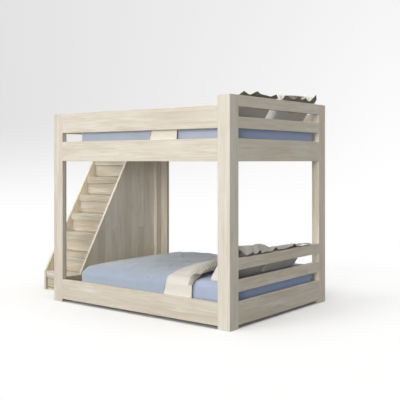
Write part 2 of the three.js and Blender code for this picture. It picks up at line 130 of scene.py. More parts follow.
# Where each noise starts and ends to show, and its share at the start and at the end
TONE_BAND = (0.36, 0.66)
FAINT_BAND = (0.36, 0.66)
PATCH_BAND = (0.54, 0.72, 0.0, 0.50)
LIMED_BAND = (0.50, 0.70, 0.0, 0.75)
STREAK_BAND = (0.46, 0.80)
FIBRE_BAND = (0.45, 0.8, 0.0, 0.26)
ROUGHNESS_BAND = (0.2, 0.8, 0.54, 0.70)

# Woven cloth: changes per metre in each noise, the bands in which they show, mottling, relief and sheen
THREAD_RUN = 40.0
FINE_PITCH = 1100.0
LINEN_PITCH = 620.0
SLUB_SCALE = (9.0, 120.0, 120.0)
CLOUD_SCALE = (6.0, 6.0, 6.0)
CLOUD_BAND = (0.3, 0.7)
THREAD_BAND = (1.1, 1.9, 0.0, 0.35)
SLUB_BAND = (0.35, 0.75, 0.0, 0.2)
COTTON_MOTTLE = 0.5
PILLOW_MOTTLE = 0.4
LINEN_MOTTLE = 0.7
COTTON_BUMP = 0.0004
LINEN_BUMP = 0.0007
CLOTH_BUMP_STRENGTH = 0.5
CLOTH_LEVELS = {"Roughness": 0.88, "Sheen Roughness": 0.6, "Specular IOR Level": 0.25}
COTTON_SHEEN = 0.25
DUVET_SHEEN = 0.7
LINEN = {"pitch": LINEN_PITCH, "depth": LINEN_BUMP, "mottle": LINEN_MOTTLE}

# Sheets: painted shade, a bluer colour on the head end face, where the sheet lies in shade: how far before
# the end face it starts, and where it is full
PAINTED_SHADE_END_BAND = (0.050, 0.010)

# Fleece: tufts and curls per metre, and where the pile curls and is painted darker as shade: before the fold,
# and above the mattress
WARP_SCALE = 45.0
WARP_REACH = 0.03
TUFT_SCALE = 130.0
TUFT_WEIGHT = 0.9
CURL_SCALE = 300.0
CURL_ROUGHNESS = 0.65
CURL_BAND = (0.14, 0.04)
CURL_RISE = 0.03
FLAT_CURL = 0.08
FLEECE_SHADE_BAND = (-0.15, 0.35, 1.0, 0.0)
FLEECE_BUMP = 0.0035
FLEECE_BUMP_STRENGTH = 0.8
FLEECE_LEVELS = {"Roughness": 0.95, "Sheen Weight": 0.5, "Sheen Roughness": 0.5, "Specular IOR Level": 0.15}

# Mattresses: rounding of the corners seen from above and of the edges, cuts along x, y and z, relief
MATTRESS_CORNER = 0.090
MATTRESS_EDGE = 0.058
MATTRESS_CUTS = (56, 48, 9)
CUBE_SIDE = 2
CUT_TOLERANCE = 1e-6
SHEET_PULL_SCALE = (3, 3, 9)
SHEET_CREASE_SCALE = (11, 11, 5)
SHEET_CREASE_SHIFT = (0, 0, 7)
SHEET_RELIEF = 0.0012
SHEET_SHRINK = 0.0015

# Duvets: gaps, spacing of the mesh, and the shape of the edges
FABRIC_GAP = 0.002
DUVET_SPACING = 0.013
DUVET_SHOULDER = 0.078
DUVET_SIDE = 0.018
DUVET_CORNER_POWER = 4.5
DUVET_HELD_SKIRT = 0.55
RAIL_CLEARANCE = 0.0015
COVER_THICKNESS = 0.002
SKIRT_THICKNESS = 0.003

# Duvets: how their loft rises from the foot, dips before the turn-back, rises to its fold, and falls to
# the far side and to both edges
DUVET_EDGE = 0.004
DUVET_LOFT = 0.060
LOFT_AT_FOOT = 0.08
FOOT_RISE_LENGTH = 0.60
VALLEY_DEPTH = 0.50
VALLEY_PLACE = 0.37
VALLEY_WIDTH = 0.17
FOLD_RISE = 0.30
FOLD_RISE_BAND = (0.26, 0.04)
FAR_FALL = 0.25
FAR_FALL_BAND = (-0.1, 0.5)
SIDE_FALL_POWER = 5

# Folds on the duvets: factors of x and y for two ways across the bed, and the layer of the noise
WIDE_FOLDS = ((2.6, 1.9), (-1, 2.0), 4.2)
SHORT_FOLDS = ((6.0, -3.4), (1, 2.4), 1.7)
SHARP_FOLDS = ((4.4, 3.4), (-1.8, 3.0), 7.3)
WIDE_FOLD_HEIGHT = 0.022
SHORT_FOLD_HEIGHT = 0.026
SHARP_FOLD_HEIGHT = 0.010
SHARP_FOLD_POWER = 8
FOLDS_AT_FOOT = 0.25

# Turn-backs: the flap's size, mesh and gaps, and how far its fold stands off and reaches
FLAP_LENGTH = 0.305
FLAP_THICKNESS = 0.011
FLAP_ROWS = 240
FLAP_STEPS = 26
FLAP_LIP = 0.004
FLAP_LIP_STEPS = 2.5
FLAP_GAP = 0.0015
FLAP_RAIL_GAP = 0.0005
FLAP_UNDER_DROP = 0.002
SKIRT_UNDER_DROP = 0.001
BACK_GAP = 0.002
BACK_LIP = 0.001
BACK_THICKNESS = 0.003
NOSE_STEPS = 9
NOSE_INSET = 0.02
NOSE_BLEND = 0.05
LINING_STEPS = 11
FOLD_LIFT = 0.036
FOLD_LIFT_LENGTH = 0.20
FOLD_INSET = 0.045
FOLD_REACH = {"lower": 0.0, "upper": 0.026}
FOLDS = {level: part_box(level + "_duvet")[1].x + FOLD_REACH[level] for level in LEVELS}

# Turn-backs: waver of the edges, their slant down the skirt, and the fluff of the pile
WANDER = 0.006
WANDER_TURNS = 3.1
WANDER_LAYER = (2.0, 9.0)
NOSE_WANDER_SHARE = 0.6
NOSE_SLANT = 0.010
NOSE_SLANT_START = 0.02
SHOULDER_SKEW = 0.018
SKIRT_SKEW = 0.026
SKEW_BEND = 0.10
TOP_FLUFF = 0.0016
TOP_FLUFF_SCALE = 70
TOP_FLUFF_LAYER = 3.3
NOSE_FLUFF = 0.0014
NOSE_FLUFF_SCALE = (0.9, 60)
NOSE_FLUFF_LAYER = 5.1

# Cloth simulation: pressure, the furthest that a point may move, stiffness
DUVET_SWELL = (1.6, 0.008, 6)
PILLOW_SWELL = 0.006
PILLOW_PRESSURE = 4.0
PILLOW_STIFFNESS = 4
SWELL_FRAMES = 20

# Pillows: size before they are fitted to their solids, lean, and how far they sink in and sit forward
PILLOW_HEIGHT = 0.300
PILLOW_THICKNESS = 0.128
PILLOW_SEAM = 0.006
PILLOW_LEAN = math.radians(33)
PILLOW_SINK = 0.034
PILLOW_FORWARD = 0.030
PILLOW_FOOT_SOFTNESS = 0.010
PILLOW_GAP = 0.0005
PILLOW_SIDE_GAP = 0.002

# Pillows: mesh, fullness of the outline, seams drawn in between the corners, dents
PILLOW_ROWS = 34
PILLOW_COLUMNS = 56
PILLOW_TOP_POWER = 10
PILLOW_SIDE_POWER = 30
PILLOW_CROWN = 0.14
FLAT_PILLOW_SHARE = 0.95
SWELL_ALLOWANCE = 0.3
SEAM_DRAW_ALONG = 0.004
SEAM_DRAW_ACROSS = 0.006
DENT_DEPTH = 0.004
DENT_SCALE = (7, 8, 6)
DENT_FADE = 0.03
DENT_SEEDS = {"lower": 3.0, "upper": 8.0}
FRONT_STEPS = 40
FRONT_ACROSS = 0.9

# Ruffles: mesh, thickness, and the places where the frills bend over the head rails, along x
RUFFLE_COLUMNS = 240
RUFFLE_ROWS = 16
RUFFLE_THICKNESS = 0.0016
RUFFLE_TUCK_X = 0.002
RUFFLE_TUCK_Z = 0.004
LOWER_CREST_X = 1.217
LOWER_BEND_X = 1.243
LOWER_BEND_RISE = 0.007
LOWER_HEM_X = 1.2655
UPPER_CREST_X = 1.2235
UPPER_CREST_Z = 1.8085
UPPER_BACK_FALL = 0.004
UPPER_BEND_X = 1.2380
UPPER_BEND_RISE = 0.003
UPPER_HEM_X = 1.2530

# Ruffles: gathers along the seam, and the flare and crumple towards the hem
GATHER_TURNS = 210
GATHER_WANDER = 4
GATHER_WANDER_TURNS = 9
PLEAT_HEIGHT = 0.0018
PLEAT_REACH = 1.4
FLARE_POWER = 1.4
FLARE_OUT = 0.006
FLARE_ALONG = 0.004
SLOPE_STEP = 0.006
SLOPE_GAIN = 2
CRUMPLE = 0.0035
CRUMPLE_SCALE = (24, 3)
CRUMPLE_LAYER = 5


# Small helpers

def smooth(low, high, value):
    share = min(max((value - low) / (high - low), 0), 1)
    return share * share * (3 - 2 * share)


def srgb(red, green, blue):
    def linear(level):
        level /= 255
        return level / 12.92 if level <= 0.04045 else ((level + 0.055) / 1.055) ** 2.4
    return (linear(red), linear(green), linear(blue), 1)


def level_of(node):
    return node.split("_")[0]


def ripple(point, scale, shift=(0, 0, 0)):
    """Noise at a point, after it is scaled and shifted."""
    values = [value * factor + offset for value, factor, offset in zip(point, scale, shift)]
    return noise.noise(Vector(values))


def add_object(name, mesh):
    obj = bpy.data.objects.new(name, mesh)
    scene.collection.objects.link(obj)
    return obj


def mesh_from_grid(name, points, across, close_across=False):
    """Quads between the rows of a list of points, with so many points across each row."""
    rows = len(points) // across
    faces = []
    last = across if close_across else across - 1
    for row in range(rows - 1):
        for column in range(last):
            after = (column + 1) % across
            a, b = row * across + column, row * across + after
            faces.append((a, b, b + across, a + across))
    mesh = bpy.data.meshes.new(name)
    mesh.from_pydata([tuple(point) for point in points], [], faces)
    return mesh


def finish_piece(obj, material, subdivide=0):
    for polygon in obj.data.polygons:
        polygon.use_smooth = True
    if subdivide:
        modifier = obj.modifiers.new("rounding", "SUBSURF")
        modifier.levels = subdivide
        modifier.render_levels = subdivide
    obj.data.materials.clear()
    obj.data.materials.append(material)
    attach(obj, "bed")


def outward(obj):
    """Turns all the faces of a closed mesh outwards."""
    shell = bmesh.new()
    shell.from_mesh(obj.data)
    bmesh.ops.recalc_face_normals(shell, faces=shell.faces)
    shell.to_mesh(obj.data)
    shell.free()


def add_cloth(obj, pressure, stiffness):
    cloth = obj.modifiers.new("cloth", "CLOTH")
    cloth.settings.quality = 5
    cloth.settings.mass = 0.25
    cloth.settings.tension_stiffness = stiffness
    cloth.settings.compression_stiffness = stiffness
    cloth.settings.shear_stiffness = stiffness / 2
    cloth.settings.bending_stiffness = 0.3
    cloth.settings.use_pressure = True
    cloth.settings.uniform_pressure_force = pressure
    cloth.settings.shrink_min = -0.05
    cloth.settings.effector_weights.gravity = 0
    cloth.settings.vertex_group_mass = "held"
    cloth.collision_settings.use_self_collision = False
    cloth.point_cache.frame_start = 1
    cloth.point_cache.frame_end = SWELL_FRAMES
    return cloth


def swell(obj, pinned, pressure, cap, stiffness):
    """Blows a cloth up a little, with the pinned points held and no point moved further than the cap."""
    rest = [vertex.co.copy() for vertex in obj.data.vertices]
    group = obj.vertex_groups.new(name="held")
    group.add(pinned, 1, "REPLACE")
    cloth = add_cloth(obj, pressure, stiffness)
    for step in range(1, SWELL_FRAMES + 1):
        scene.frame_set(step)
    evaluated = obj.evaluated_get(bpy.context.evaluated_depsgraph_get())
    moved = [vertex.co.copy() for vertex in evaluated.data.vertices]
    obj.modifiers.remove(cloth)
    scene.frame_set(1)
    for vertex, start, end in zip(obj.data.vertices, rest, moved):
        shift = end - start
        if shift.length > TINY:
            shift *= cap * math.tanh(shift.length / cap) / shift.length
        vertex.co = start + shift


# Materials

class Graph:
    """Adds nodes to a tree. An input is linked where its source is a socket, and otherwise set."""

    def __init__(self, tree):
        self.tree = tree

    def feed(self, node, inputs):
        for socket, source in inputs.items():
            if isinstance(source, bpy.types.NodeSocket):
                self.tree.links.new(source, node.inputs[socket])
            else:
                node.inputs[socket].default_value = source

    def add(self, kind, inputs=None, **settings):
        node = self.tree.nodes.new(kind)
        for key, value in settings.items():
            setattr(node, key, value)
        self.feed(node, inputs or {})
        return node

    def math(self, operation, *values):
        return self.add("ShaderNodeMath", dict(enumerate(values)), operation=operation).outputs[0]

    def vector_math(self, operation, *vectors):
        return self.add("ShaderNodeVectorMath", dict(enumerate(vectors)), operation=operation).outputs

    def split(self, vector):
        return self.add("ShaderNodeSeparateXYZ", {0: vector}).outputs

    def spread(self, value, low, high, to_low=0.0, to_high=1.0, **settings):
        inputs = {"Value": value, "From Min": low, "From Max": high, "To Min": to_low, "To Max": to_high}
        return self.add("ShaderNodeMapRange", inputs, **settings).outputs[0]

    def mix(self, share, first, second):
        return self.add("ShaderNodeMix", {0: share, 6: first, 7: second}, data_type="RGBA").outputs[2]

    def seen(self):
        """1 for what the camera sees, also mirrored or through glass, and 0 for what lights the bed."""
        rays = self.add("ShaderNodeLightPath").outputs
        direct = self.math("MAXIMUM", rays["Is Camera Ray"], rays["Is Glossy Ray"])
        return self.math("MAXIMUM", direct, rays["Is Transmission Ray"])


class Finish(Graph):
    """A new material, whose noises lie in the object's own coordinates."""

    def __init__(self, name):
        self.material = bpy.data.materials.new(name)
        self.material.use_nodes = True
        super().__init__(self.material.node_tree)
        self.shader = self.tree.nodes["Principled BSDF"]
        self.place = self.add("ShaderNodeTexCoord").outputs["Object"]

    def scaled(self, scale, shift=(0, 0, 0)):
        inputs = {"Vector": self.place, "Scale": scale, "Location": shift}
        return self.add("ShaderNodeMapping", inputs).outputs[0]

    def noise(self, vector, detail, roughness=0.5, scale=1.0):
        inputs = {"Vector": vector, "Scale": scale, "Detail": detail, "Roughness": roughness}
        return self.add("ShaderNodeTexNoise", inputs).outputs["Fac"]

    def finish(self, color, height, depth, strength, levels):
        """Joins the colour and the bump to the shader, and sets its other levels."""
        bump = self.add("ShaderNodeBump", {"Height": height, "Distance": depth, "Strength": strength})
        self.feed(self.shader, {"Base Color": color, "Normal": bump.outputs[0], **levels})
        return self.material


def grain_scale(axis, along, across):
    return tuple(along if index == axis else across for index in range(3))


def grain_shift(seed):
    """A place of its own in the noises for each board."""
    first, more = SHIFT_TURNS
    return tuple(SHIFT_REACH * math.sin(seed * (first + more * index) + index) for index in range(3))


def pith_shift(axis, seed):
    """How far the middle of the tree lies from a board, across its grain."""
    turn, more = PITH_TURNS
    away = [PITH_DISTANCE * math.sin(seed * turn + more * index) for index in range(3)]
    away[axis] = 0.0
    return tuple(away)


def add_staves(nodes):
    """Staves on end, as bricks. Each one takes its grain from another place."""
    spot = nodes.split(nodes.place)
    flat = nodes.add("ShaderNodeCombineXYZ", {0: spot[2], 1: spot[1], 2: 0.0}).outputs[0]
    inputs = {
        "Vector": flat, "Scale": 1.0,
        "Color1": (0, 0, 0, 1), "Color2": (1, 1, 1, 1), "Mortar": (0.5, 0.5, 0.5, 1),
        "Mortar Size": STAVE_JOINT, "Brick Width": STAVE_LENGTH, "Row Height": STAVE_WIDTH,
    }
    staves = nodes.add("ShaderNodeTexBrick", inputs, offset=STAVE_OFFSET, squash=1.0).outputs
    jump = nodes.vector_math("MULTIPLY", staves["Color"], STAVE_JUMP)[0]
    nodes.place = nodes.vector_math("ADD", nodes.place, jump)[0]
    return staves


def wood(name, axis, seed, palette, has_staves):
    """Limed oak with its grain along one axis: flat-cut growth rings, pores, and slow changes of tone."""
    pale, tan, dark, ring_share, streak_share = palette
    nodes = Finish(name)
    shift = grain_shift(seed)

    def grain(kind):
        along, across, detail, roughness = WOOD_NOISE[kind]
        return nodes.noise(nodes.scaled(grain_scale(axis, along, across), shift), detail, roughness)

    tone = grain("tone")
    if has_staves:
        staves = add_staves(nodes)
    from_pith = nodes.scaled(grain_scale(axis, *RING_SCALE), pith_shift(axis, seed))
    radius = nodes.vector_math("LENGTH", from_pith)["Value"]
    sway = nodes.math("MULTIPLY", grain("sway"), RING_SWAY)
    ring = nodes.math("ADD", nodes.math("DIVIDE", radius, RING_SPACING), sway)
    ring = nodes.math("POWER", nodes.math("FRACT", ring), RING_SHARPNESS)
    ring = nodes.math("MULTIPLY", ring, nodes.spread(grain("faint"), *FAINT_BAND))
    fibre = grain("fibre")

    color = nodes.mix(nodes.spread(tone, *TONE_BAND), pale, tan)
    if has_staves:
        color = nodes.mix(nodes.math("MULTIPLY", staves["Color"], STAVE_CONTRAST), color, dark)
    color = nodes.mix(nodes.spread(grain("patch"), *PATCH_BAND), color, WARM)
    color = nodes.mix(nodes.spread(grain("limed"), *LIMED_BAND), color, LIME)
    deep = nodes.math("MULTIPLY", ring, ring_share)
    deep = nodes.math("ADD", deep, nodes.spread(grain("streak"), *STREAK_BAND, 0.0, streak_share))
    deep = nodes.math("ADD", deep, nodes.spread(fibre, *FIBRE_BAND))
    color = nodes.mix(nodes.spread(deep, 0.0, 1.0), color, dark)
    if has_staves:
        color = nodes.mix(nodes.math("MULTIPLY", staves["Fac"], STAVE_JOINT_SHARE), color, dark)
    height = nodes.math("SUBTRACT", fibre, nodes.math("MULTIPLY", ring, RING_DENT))
    levels = {"Roughness": nodes.spread(fibre, *ROUGHNESS_BAND), "Specular IOR Level": WOOD_SPECULAR}
    return nodes.finish(color, height, WOOD_BUMP, WOOD_BUMP_STRENGTH, levels)


def woven(name, color, shade, pitch=FINE_PITCH, sheen=COTTON_SHEEN, depth=COTTON_BUMP,
          mottle=COTTON_MOTTLE, painted_shade_end=None):
    """Plain-woven cotton or linen: threads along every axis, and slow changes of tone.

    The end argument after mottle is (x, colour): painted shade, the bluer colour that the cloth takes at the
    end face lying there, where it is in shade.
    """
    nodes = Finish(name)
    ways = [grain_scale(axis, THREAD_RUN, pitch) for axis in range(3)]
    threads = nodes.noise(nodes.scaled(ways[0]), detail=1.0)
    for way in ways[1:]:
        threads = nodes.math("ADD", threads, nodes.noise(nodes.scaled(way), detail=1.0))
    slub = nodes.noise(nodes.scaled(SLUB_SCALE), detail=2.0)
    cloud = nodes.noise(nodes.scaled(CLOUD_SCALE), detail=3.0)
    share = nodes.math("MULTIPLY", nodes.spread(cloud, *CLOUD_BAND), mottle)
    share = nodes.math("ADD", share, nodes.spread(threads, *THREAD_BAND))
    share = nodes.math("ADD", share, nodes.spread(slub, *SLUB_BAND))
    paint = nodes.mix(share, color, shade)
    # Painted shade: the sheet's head end face takes a bluer colour
    if painted_shade_end:
        end_x, painted_shade_color = painted_shade_end
        start, full = (end_x - before for before in PAINTED_SHADE_END_BAND)
        paint = nodes.mix(nodes.spread(nodes.split(nodes.place)[0], start, full), paint, painted_shade_color)
    return nodes.finish(paint, threads, depth, CLOTH_BUMP_STRENGTH, {"Sheen Weight": sheen, **CLOTH_LEVELS})


def fleece(name, color, shade, fold, bed_top):
    """Short pile in small tufts, brushed flat, and curled where the top turns round the fold, with painted
    shade between the tufts, mostly there.
    """
    nodes = Finish(name)
    spot = nodes.split(nodes.place)
    start, full = (fold - before for before in CURL_BAND)
    curl_and_shade = nodes.spread(spot[0], start, full)
    curl_and_shade = nodes.math("MULTIPLY", curl_and_shade, nodes.spread(spot[2], bed_top, bed_top + CURL_RISE))
    curl_and_shade = nodes.math("MAXIMUM", curl_and_shade, FLAT_CURL)
    warp = nodes.add("ShaderNodeTexNoise", {"Vector": nodes.place, "Scale": WARP_SCALE, "Detail": 2.0})
    bent = nodes.vector_math("MULTIPLY", warp.outputs["Color"], (WARP_REACH, WARP_REACH, WARP_REACH))[0]
    bent = nodes.vector_math("ADD", nodes.place, bent)[0]
    tufts = nodes.add("ShaderNodeTexVoronoi", {"Vector": bent, "Scale": TUFT_SCALE}, feature="F1")
    curls = nodes.noise(bent, detail=3.0, roughness=CURL_ROUGHNESS, scale=CURL_SCALE)
    height = nodes.math("SUBTRACT", curls, nodes.math("MULTIPLY", tufts.outputs["Distance"], TUFT_WEIGHT))
    # Painted shade: darker between the tufts and curls, mostly at the fold's nose
    share = nodes.math("MULTIPLY", nodes.spread(height, *FLEECE_SHADE_BAND), curl_and_shade)
    height = nodes.math("MULTIPLY", height, curl_and_shade)
    paint = nodes.mix(share, color, shade)
    return nodes.finish(paint, height, FLEECE_BUMP, FLEECE_BUMP_STRENGTH, FLEECE_LEVELS)


# Colours of the boards: pale and tan between the lines, dark lines, shares of the rings and of the streaks
ALONG_X, ALONG_Y, ALONG_Z = 0, 1, 2
LIME = srgb(238, 234, 226)
WARM = srgb(213, 198, 166)
LIMED = (srgb(231, 224, 211), srgb(220, 209, 190), srgb(190, 177, 155), 0.34, 0.42)
# Painted light: the near head post is lighter, and painted shade: the foot posts and the lower bunk's boards
# are darker, as the light falls off to the left and towards the floor
PAINTED_LIGHT_POST = (srgb(233, 228, 217), srgb(225, 216, 200), srgb(200, 189, 171), 0.30, 0.36)
PAINTED_SHADE_WOOD = (srgb(224, 216, 203), srgb(214, 203, 184), srgb(184, 171, 150), 0.34, 0.42)
STAIR = (srgb(215, 207, 190), srgb(203, 192, 171), srgb(140, 127, 103), 0.60, 0.34)
# Painted light: the stairs' inner and back panels are pale wood, painted lighter still in place of light that
# the lamps don't bring there
PANEL = (srgb(252, 246, 233), srgb(245, 236, 217), srgb(213, 202, 182), 0.25, 0.40)
OUTER_PANEL = (srgb(243, 235, 218), srgb(234, 223, 202), srgb(200, 188, 166), 0.25, 0.40)
PINE = (srgb(222, 208, 180), srgb(212, 194, 162), srgb(178, 155, 121), 0.50, 0.60)
PLY = (srgb(226, 213, 189), srgb(214, 199, 170), srgb(192, 173, 142), 0.30, 0.50)

# Colours of each bunk's cloths: the cloth itself and its mottling, and the sheet's head end, which is painted
# shade. The upper bunk's duvet, sheet, pillows and fleece are painted lighter than the same cloths below, as
# painted light, and its ruffles darker, as painted shade.
DUVET_COLORS = {
    "lower": (srgb(165, 178, 195), srgb(152, 166, 185)),
    "upper": (srgb(179, 189, 203), srgb(166, 177, 193)),
}
SHEET_COLORS = {
    "lower": (srgb(181, 191, 212), srgb(167, 179, 204)),
    "upper": (srgb(192, 200, 217), srgb(178, 188, 208)),
}
# Painted shade: the bluer colours of the sheets' head end faces
SHEET_PAINTED_SHADE_COLORS = {"lower": srgb(171, 192, 234), "upper": srgb(185, 204, 242)}
PILLOW_COLORS = {
    "lower": (srgb(234, 230, 223), srgb(226, 221, 212)),
    "upper": (srgb(246, 242, 235), srgb(239, 234, 225)),
}
# Painted shade: the upper ruffles are the same linen as the lower ones, painted darker where they are seen in
# shade
RUFFLE_COLORS = {
    "lower": (srgb(196, 192, 185), srgb(168, 164, 154)),
    "upper": (srgb(139, 134, 117), srgb(111, 106, 88)),
}
RUFFLE_NAMES = {"lower": "ruffle_linen", "upper": "ruffle_linen_painted_shade"}
# The fleece's second colour is painted shade, for the hollows of the pile
FLEECE_COLORS = {
    "lower": (srgb(229, 224, 214), srgb(146, 137, 118)),
    "upper": (srgb(242, 237, 226), srgb(146, 137, 118)),
}


def board_finish(node):
    """(axis of the grain, colours, whether it is glued up from staves) of a CAD node, by its name."""
    # Painted light on the near head post
    if node == "post_head_near":
        return ALONG_Z, PAINTED_LIGHT_POST, False
    # Painted shade: the foot posts take the darker palette
    if node.startswith("post_"):
        return ALONG_Z, PAINTED_SHADE_WOOD if "foot" in node else LIMED, False
    if node.startswith("drawer_box"):
        return ALONG_X, PLY, False
    if node.startswith("stair_side_panel"):
        return ALONG_Z, OUTER_PANEL if node.endswith("outer") else PANEL, True
    if node == "stair_back_panel":
        return ALONG_Z, PANEL, False
    if node.startswith(("stair_", "drawer_front")):
        return ALONG_X, STAIR, False
    if "slat_roll" in node:
        return ALONG_Y, PINE, False
    if "cleat" in node or "beam" in node:
        return ALONG_X, PINE, False
    # Painted shade: the lower bunk's boards take the darker palette
    palette = PAINTED_SHADE_WOOD if node.startswith("lower") else LIMED
    if "side_rail" in node or "guard_near" in node or "guard_far" in node:
        return ALONG_X, palette, False
    return ALONG_Y, palette, False


def finish_boards():
    """Gives every board its own material, with its own piece of grain."""
    soft = {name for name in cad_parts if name.endswith(("mattress", "duvet")) or "pillow" in name}
    for seed, node in enumerate(sorted(set(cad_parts) - soft), start=1):
        axis, palette, has_staves = board_finish(node)
        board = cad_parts[node]
        board.data.materials.clear()
        board.data.materials.append(wood("wood_" + node, axis, seed, palette, has_staves))


def make_cloths(level):
    """The materials of one bunk's bedding, by what they cover."""
    bed_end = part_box(level + "_mattress")[1]
    # The sheet's head end gets its painted shade colour
    painted_shade_end = (bed_end.x, SHEET_PAINTED_SHADE_COLORS[level])
    return {
        "duvet": woven("duvet_cotton_" + level, *DUVET_COLORS[level], sheen=DUVET_SHEEN),
        "sheet": woven("sheet_cotton_" + level, *SHEET_COLORS[level], painted_shade_end=painted_shade_end),
        "pillow": woven("pillow_cotton_" + level, *PILLOW_COLORS[level], mottle=PILLOW_MOTTLE),
        "ruffle": woven(RUFFLE_NAMES[level], *RUFFLE_COLORS[level], **LINEN),
        "fleece": fleece("cream_fleece_" + level, *FLEECE_COLORS[level], FOLDS[level], bed_end.z),
    }


finish_boards()
CLOTHS = {level: make_cloths(level) for level in LEVELS}


# Mattresses

def mattress_point(point, half, corner, edge):
    """A point of a plain box moved onto a block with rounded corners and softer long edges."""
    held = [min(max(point[i], -(half[i] - corner)), half[i] - corner) for i in (0, 1)]
    out = Vector((point[0] - held[0], point[1] - held[1]))
    reach = max(abs(out.x), abs(out.y))
    way = out.normalized() if reach > TINY else Vector((0, 0))
    flat_z = min(max(point[2], -(half[2] - edge)), half[2] - edge)
    kept = min(reach, corner - edge)
    turn = Vector((reach - kept, point[2] - flat_z))
    size = max(turn.x, abs(turn.y))
    if size > TINY:
        turn = turn.normalized() * size
    return Vector((held[0] + way.x * (kept + turn.x), held[1] + way.y * (kept + turn.x), flat_z + turn.y))


def runs_along(edge, axis):
    """Whether an edge runs along an axis from one side of the uncut cube to the other."""
    start, end = (vertex.co[axis] for vertex in edge.verts)
    return abs(abs(start - end) - CUBE_SIDE) < CUT_TOLERANCE


def add_mattress(level):
    node = level + "_mattress"
    low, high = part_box(node)
    centre, half = (low + high) / 2, (high - low) / 2
    box = bmesh.new()
    bmesh.ops.create_cube(box, size=CUBE_SIDE)
    for axis, cuts in enumerate(MATTRESS_CUTS):
        chosen = [edge for edge in box.edges if runs_along(edge, axis)]
        bmesh.ops.subdivide_edges(box, edges=chosen, cuts=cuts, use_grid_fill=True)
    for vertex in box.verts:
        plain = [vertex.co[i] * half[i] for i in range(3)]
        point = mattress_point(plain, half, MATTRESS_CORNER, MATTRESS_EDGE)
        pull = ripple(point, SHEET_PULL_SCALE) * SHEET_RELIEF
        crease = abs(ripple(point, SHEET_CREASE_SCALE, SHEET_CREASE_SHIFT)) * SHEET_RELIEF
        vertex.co = centre + point * (1 - SHEET_SHRINK) + point.normalized() * (pull - crease)
    mesh = bpy.data.meshes.new(node + "_sheet")
    box.to_mesh(mesh)
    box.free()
    obj = add_object(node + "_sheet", mesh)
    outward(obj)
    finish_piece(obj, CLOTHS[level]["sheet"], subdivide=1)
    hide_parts(node)


# Duvets

def profile(distance, shoulder):
    """(out, down) after going so far over a rounded shoulder and then straight down."""
    quarter = shoulder * math.pi / 2
    if distance < quarter:
        angle = distance / shoulder
        return shoulder * math.sin(angle), shoulder * (1 - math.cos(angle))
    return shoulder, shoulder + distance - quarter


def fold_noise(x, y, folds):
    first, second, layer = folds
    spot = (x * first[0] + y * first[1], x * second[0] + y * second[1], layer)
    return noise.noise(Vector(spot))


def fold_height(x, y):
    """Wide and short soft folds, and a few sharp ones."""
    height = fold_noise(x, y, WIDE_FOLDS) * WIDE_FOLD_HEIGHT
    height += abs(fold_noise(x, y, SHORT_FOLDS)) * SHORT_FOLD_HEIGHT
    height += (1 - abs(fold_noise(x, y, SHARP_FOLDS))) ** SHARP_FOLD_POWER * SHARP_FOLD_HEIGHT
    return height


def duvet_depth(x, y, foot, fold, half):
    """How deep the duvet lies over the mattress's flat top."""
    across = 1 - min(abs(y) / (half - DUVET_SHOULDER), 1) ** SIDE_FALL_POWER
    along = LOFT_AT_FOOT + (1 - LOFT_AT_FOOT) * smooth(foot, foot + FOOT_RISE_LENGTH, x)
    along -= VALLEY_DEPTH * math.exp(-((x - fold + VALLEY_PLACE) / VALLEY_WIDTH) ** 2)
    along += FOLD_RISE * smooth(fold - FOLD_RISE_BAND[0], fold - FOLD_RISE_BAND[1], x)
    along *= 1 - FAR_FALL * smooth(*FAR_FALL_BAND, y)
    folds = fold_height(x, y) * (FOLDS_AT_FOOT + (1 - FOLDS_AT_FOOT) * along)
    return DUVET_EDGE + (DUVET_LOFT * along + folds) * across


def skirt_run(top, hem, shoulder):
    return shoulder * math.pi / 2 + top - shoulder - hem


def corner_reach(turn, power):
    """How far a rounded square of that power reaches at a turn, next to a circle."""
    if not 0 < turn < math.pi / 2:
        return 1
    return (math.cos(turn) ** power + math.sin(turn) ** power) ** (-1 / power)


def wrapped_points(foot, head, half, top, hem, shoulder, counts, depth=None):
    """A regular sheet laid over a block from its foot end: flat top, rounded shoulders, straight skirts."""
    skirt, along, across = counts
    run = skirt_run(top, hem, shoulder)
    points, is_held = [], []
    for i in range(-skirt, along + 1):
        for j in range(-skirt, across + skirt + 1):
            x = foot + shoulder + max(i, 0) / along * (head - foot - shoulder)
            y = (min(max(j, 0), across) / across * 2 - 1) * (half - shoulder)
            end = max(-i, 0) / skirt
            side = max(-j, j - across, 0) / skirt
            rise = depth(x, y) if depth else 0
            out = max(end, side)
            turn = math.pi / 4 * (min(end, side) / out) if out else 0
            if side > end:
                turn = math.pi / 2 - turn
            reach, down = profile(out * run, shoulder)
            square = corner_reach(turn, 2 + (DUVET_CORNER_POWER - 2) * min(down / shoulder, 1))
            x -= reach * square * math.cos(turn) * (1 if out else 0)
            y += reach * square * math.sin(turn) * (1 if j > across / 2 else -1)
            share = max(0, 1 - down / shoulder)
            points.append(Vector((x, y, top + rise * share - down)))
            is_held.append(out > DUVET_HELD_SKIRT or x > head - FLAP_LENGTH)
    return points, is_held


def close_shell(name, outer, inner, across):
    """One closed body between two sheets with the same layout of points."""
    count = len(outer)
    rows = count // across
    mesh = mesh_from_grid(name, outer, across)
    faces = [tuple(polygon.vertices) for polygon in mesh.polygons]
    faces += [tuple(count + index for index in reversed(face)) for face in faces]
    rim = list(range(across)) + [row * across + across - 1 for row in range(1, rows)]
    rim += [(rows - 1) * across + column for column in range(across - 2, -1, -1)]
    rim += [row * across for row in range(rows - 2, 0, -1)]
    for here, after in zip(rim, rim[1:] + rim[:1]):
        faces.append((here, here + count, after + count, after))
    shell = bpy.data.meshes.new(name)
    shell.from_pydata([tuple(point) for point in outer + inner], [], faces)
    return shell


